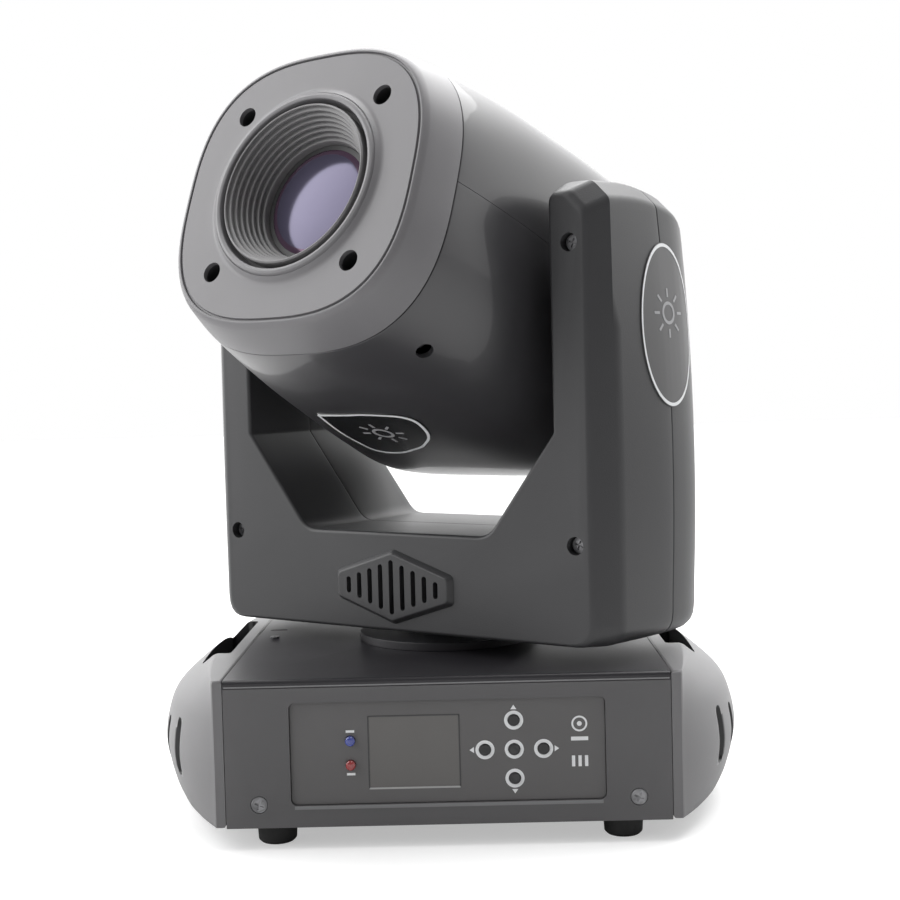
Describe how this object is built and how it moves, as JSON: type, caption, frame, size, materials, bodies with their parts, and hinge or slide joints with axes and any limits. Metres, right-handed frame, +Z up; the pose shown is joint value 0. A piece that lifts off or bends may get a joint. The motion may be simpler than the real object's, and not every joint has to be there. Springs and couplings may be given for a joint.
{
  "type": "moving head light",
  "caption": "Moving head stage light with a panning yoke, a tilting lens head and a base with side handles and a control panel.",
  "frame": {"origin": "on the pan axis, on the plane the rubber feet stand on", "axes": "+Z up along the pan axis, -Y towards the control panel, +X to the right of someone who faces the panel"},
  "size_m": [0.317, 0.2797, 0.3955],
  "materials": {
    "front_plastic": "fine-grained dark grey moulding",
    "handle_plastic": "smooth dark grey moulding",
    "yoke_plastic": "fine-grained dark grey moulding",
    "head_plastic": "satin black-grey moulding",
    "bezel_plastic": "satin grey moulding",
    "painted_sheet": "black powder coat",
    "black_plastic": "satin black",
    "rubber": "matte",
    "dark_screws": "blackened steel",
    "badge_print": "printed label",
    "screen": "unlit display window",
    "led_lenses": "tinted diode lenses",
    "lens_glass": "coated glass",
    "steel": "bare steel",
    "aluminium": "bare",
    "motor_black": "satin",
    "board_green": "circuit board",
    "led_source": "light source with phosphor",
    "filter_glass": "coated filters"
  },
  "bodies": {
    "base": {"base_pan": "painted_sheet", "base_front_panel": "front_plastic", "base_top_cover": "painted_sheet", "base_rear_panel": "painted_sheet", "handle_left": "handle_plastic", "handle_right": "handle_plastic", "display_panel": "front_plastic", "lcd_screen": "screen", "status_leds": "led_lenses", "rubber_feet": "rubber", "power_inlet": "black_plastic", "dmx_in_socket": "black_plastic", "dmx_out_socket": "black_plastic", "fuse_holder": "black_plastic", "power_supply": "steel", "control_board": "board_green", "base_screws": "dark_screws", "bracket_sockets": "steel", "safety_loop": "steel", "turntable_ring": "painted_sheet", "pan_post": "steel"},
    "button_up_cap": {"button_up": "black_plastic"},
    "button_down_cap": {"button_down": "black_plastic"},
    "button_left_cap": {"button_left": "black_plastic"},
    "button_right_cap": {"button_right": "black_plastic"},
    "button_enter_cap": {"button_enter": "black_plastic"},
    "yoke": {"yoke_frame": "steel", "yoke_front_shell": "yoke_plastic", "yoke_rear_shell": "yoke_plastic", "arm_badges": "badge_print", "yoke_screws": "dark_screws", "pan_bearing": "steel", "pan_motor": "motor_black", "pan_belt": "rubber", "tilt_motor": "motor_black", "tilt_belt": "rubber", "tilt_bearings": "steel"},
    "pan_motor_wheel": {"pan_motor_pulley": "aluminium"},
    "tilt_motor_wheel": {"tilt_motor_pulley": "aluminium"},
    "head": {"head_bezel": "bezel_plastic", "head_upper_shell": "head_plastic", "head_lower_shell": "head_plastic", "head_rear_cap": "head_plastic", "head_badge": "badge_print", "head_screws": "dark_screws", "tilt_pulley": "aluminium", "tilt_shafts": "steel", "head_chassis": "aluminium", "led_module": "led_source", "heat_sink": "aluminium", "lens_barrel": "bezel_plastic", "front_lens": "lens_glass", "wheel_motors": "motor_black", "fan_frame": "black_plastic"},
    "focus": {"focus_carriage": "motor_black", "focus_lens": "lens_glass"},
    "gobo_disc": {"gobo_wheel": "motor_black"},
    "colour_disc": {"colour_wheel": "filter_glass"},
    "fan": {"fan_rotor": "black_plastic"}
  },
  "joints": [
    {"name": "pan", "type": "hinge", "parent": "base", "child": "yoke", "pos_m": [0, 0, 0.09], "axis": [0, 0, 1], "range_deg": [-236.6, 303.4]},
    {"name": "tilt", "type": "hinge", "parent": "yoke", "child": "head", "pos_m": [0, 0, 0.2805], "axis": [-0.8348, 0.5505, 0], "range_deg": [-54.5, 191.5]},
    {"name": "focus", "type": "slide", "parent": "head", "child": "focus", "axis": [-0.5156, -0.782, 0.3502], "range_m": [-0.015, 0.015]},
    {"name": "gobo_spin", "type": "hinge", "parent": "head", "child": "gobo_disc", "pos_m": [0.00656, 0.00994, 0.31235], "axis": [-0.5156, -0.782, 0.3502], "continuous": true},
    {"name": "colour_spin", "type": "hinge", "parent": "head", "child": "colour_disc", "pos_m": [-0.00656, -0.00994, 0.24865], "axis": [-0.5156, -0.782, 0.3502], "continuous": true},
    {"name": "fan_spin", "type": "hinge", "parent": "head", "child": "fan", "pos_m": [0.04073, 0.06178, 0.25283], "axis": [-0.5156, -0.782, 0.3502], "continuous": true},
    {"name": "pan_motor_spin", "type": "hinge", "parent": "yoke", "child": "pan_motor_wheel", "pos_m": [-0.06261, 0.04129, 0.105], "axis": [0, 0, 1], "range_deg": [-1500, 1200]},
    {"name": "tilt_motor_spin", "type": "hinge", "parent": "yoke", "child": "tilt_motor_wheel", "pos_m": [0.09517, -0.06276, 0.1215], "axis": [-0.8348, 0.5505, 0], "range_deg": [-240, 800]},
    {"name": "press_up", "type": "slide", "parent": "base", "child": "button_up_cap", "axis": [0, 1, 0], "range_m": [0, 0.001], "stiffness_N_per_m": 300},
    {"name": "press_down", "type": "slide", "parent": "base", "child": "button_down_cap", "axis": [0, 1, 0], "range_m": [0, 0.001], "stiffness_N_per_m": 300},
    {"name": "press_left", "type": "slide", "parent": "base", "child": "button_left_cap", "axis": [0, 1, 0], "range_m": [0, 0.001], "stiffness_N_per_m": 300},
    {"name": "press_right", "type": "slide", "parent": "base", "child": "button_right_cap", "axis": [0, 1, 0], "range_m": [0, 0.001], "stiffness_N_per_m": 300},
    {"name": "press_enter", "type": "slide", "parent": "base", "child": "button_enter_cap", "axis": [0, 1, 0], "range_m": [0, 0.001], "stiffness_N_per_m": 300}
  ],
  "couplings": [
    {"joint": "pan_motor_spin", "follows": "pan", "ratio": -4.75},
    {"joint": "tilt_motor_spin", "follows": "tilt", "ratio": 4}
  ]
}
